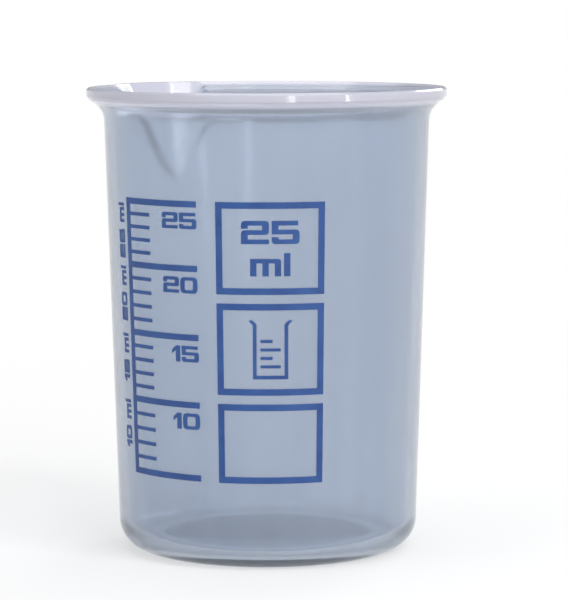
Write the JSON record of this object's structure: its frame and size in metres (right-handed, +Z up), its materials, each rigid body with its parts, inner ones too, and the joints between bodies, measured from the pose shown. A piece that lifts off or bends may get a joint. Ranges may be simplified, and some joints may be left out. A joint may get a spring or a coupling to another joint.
{
  "type": "low-form beaker",
  "caption": "Small low-form laboratory beaker in translucent polypropylene with a flared lip, a pressed spout and a printed volume scale",
  "frame": {"origin": "On the beaker's axis, in the plane of its foot", "axes": "+Z is up along the beaker's axis, -Y is the side that carries the print, and the spout points 130 degrees round from +X towards +Y"},
  "size_m": [0.0374, 0.0374, 0.048],
  "materials": {
    "polypropylene": "satin, translucent, with a cool blue-grey cast",
    "print_ink": "matt screen-printed cobalt blue"
  },
  "bodies": {
    "root": {"beaker": "polypropylene", "graduated_scale": "print_ink", "panel_frame_upper": "print_ink", "panel_frame_middle": "print_ink", "panel_frame_lower": "print_ink"}
  },
  "joints": []
}
